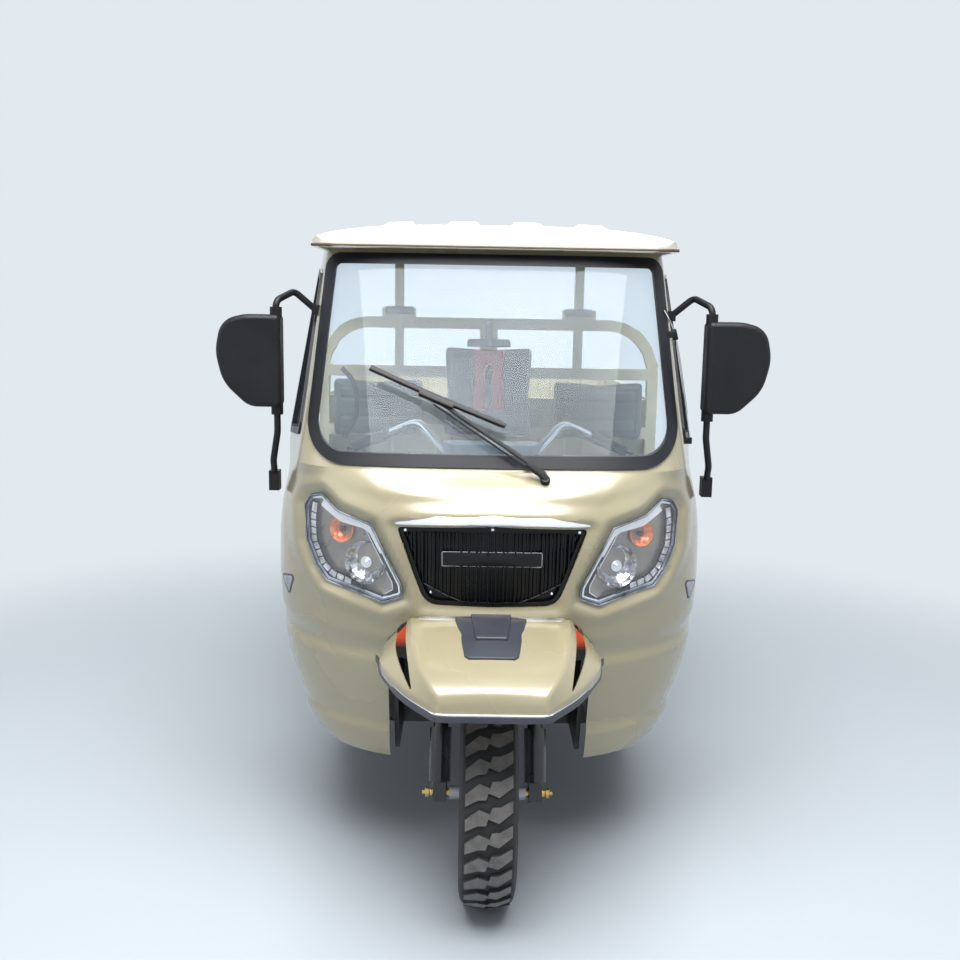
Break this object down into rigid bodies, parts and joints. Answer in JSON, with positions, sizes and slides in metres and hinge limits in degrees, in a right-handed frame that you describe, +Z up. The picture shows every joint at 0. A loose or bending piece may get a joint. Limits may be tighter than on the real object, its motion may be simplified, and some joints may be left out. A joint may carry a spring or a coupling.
{
  "type": "cargo auto rickshaw",
  "caption": "Three-wheeled auto rickshaw with a round-fronted open-sided cab, bench seats under a ribbed roof and an open cargo box with a drop-down tailgate.",
  "frame": {"origin": "bottom centre of the bounding box, on the ground", "axes": "+Z up, -Y towards the nose, +X to the vehicle's left, which is the right of the picture"},
  "size_m": [1.4812, 3.35, 1.7665],
  "materials": {
    "black_plastic": "black moulded plastic, fine grain",
    "body_paint": "champagne metallic paint, high gloss",
    "chassis_paint": "black chassis paint, satin",
    "chrome": "chrome plate",
    "engine_metal": "cast alloy",
    "glass": "clear laminated glass",
    "grey_plastic": "dark grey moulded plastic",
    "lamp_chrome": "bright lamp reflector",
    "lamp_clear": "clear lamp lens",
    "lamp_red": "red lamp lens",
    "rim_paint": "silver wheel paint",
    "rubber": "black rubber",
    "seat_vinyl": "dark grey-green vinyl",
    "steel": "plain steel",
    "tyre": "black tyre rubber",
    "zinc": "yellow zinc plate"
  },
  "bodies": {
    "chassis": {"battery": "black_plastic", "box_front_wall": "body_paint", "box_wall_left": "body_paint", "box_wall_right": "body_paint", "cab_pillars": "body_paint", "cargo_floor": "body_paint", "chassis_frame": "chassis_paint", "driver_backrest": "seat_vinyl", "driver_cushion": "seat_vinyl", "engine": "engine_metal", "exhaust": "steel", "floor_pan": "body_paint", "front_cowl": "body_paint", "fuel_tank": "chassis_paint", "gate_hinges": "steel", "grille": "black_plastic", "grille_strip": "chrome", "headlamp_bodies": "lamp_chrome", "headlamp_lenses": "lamp_clear", "leaf_springs": "chassis_paint", "mirror_arms": "chassis_paint", "mirror_heads": "black_plastic", "mud_flaps": "rubber", "nose_fender": "body_paint", "nose_trim": "grey_plastic", "passenger_backrest_left": "seat_vinyl", "passenger_backrest_right": "seat_vinyl", "passenger_cushion_left": "seat_vinyl", "passenger_cushion_right": "seat_vinyl", "propeller_shaft": "steel", "quarter_glass": "glass", "quarter_seals": "rubber", "rear_axle": "chassis_paint", "rear_hoop": "body_paint", "roof_panel": "body_paint", "seat_base": "body_paint", "tail_lamps": "lamp_red", "tow_lug": "chassis_paint", "wheel_house": "black_plastic", "windscreen_glass": "glass", "windscreen_seal": "rubber", "wiper": "black_plastic"},
    "steering": {"front_fork": "chassis_paint", "front_axle": "zinc", "handlebar": "chrome", "grips": "rubber", "instrument_pod": "grey_plastic"},
    "wheel_front": {"tyre_front": "tyre", "rim_front": "rim_paint"},
    "wheel_rear_left": {"tyre_rear_left": "tyre", "rim_rear_left": "rim_paint"},
    "wheel_rear_right": {"tyre_rear_right": "tyre", "rim_rear_right": "rim_paint"},
    "tailgate": {"tailgate": "body_paint"}
  },
  "joints": [
    {"name": "steering", "type": "hinge", "parent": "chassis", "child": "steering", "pos_m": [0, -1.29328, 0.26921], "axis": [0, 0.4226, 0.9063], "range_deg": [-35, 35]},
    {"name": "front_wheel_spin", "type": "hinge", "parent": "steering", "child": "wheel_front", "pos_m": [0, -1.325, 0.284], "axis": [1, 0, 0], "continuous": true},
    {"name": "rear_left_wheel_spin", "type": "hinge", "parent": "chassis", "child": "wheel_rear_left", "pos_m": [0.52, 0.825, 0.284], "axis": [1, 0, 0], "continuous": true},
    {"name": "rear_right_wheel_spin", "type": "hinge", "parent": "chassis", "child": "wheel_rear_right", "pos_m": [-0.52, 0.825, 0.284], "axis": [1, 0, 0], "continuous": true},
    {"name": "tailgate_drop", "type": "hinge", "parent": "chassis", "child": "tailgate", "pos_m": [0, 1.665, 0.65], "axis": [-1, 0, 0], "range_deg": [0, 90]}
  ]
}
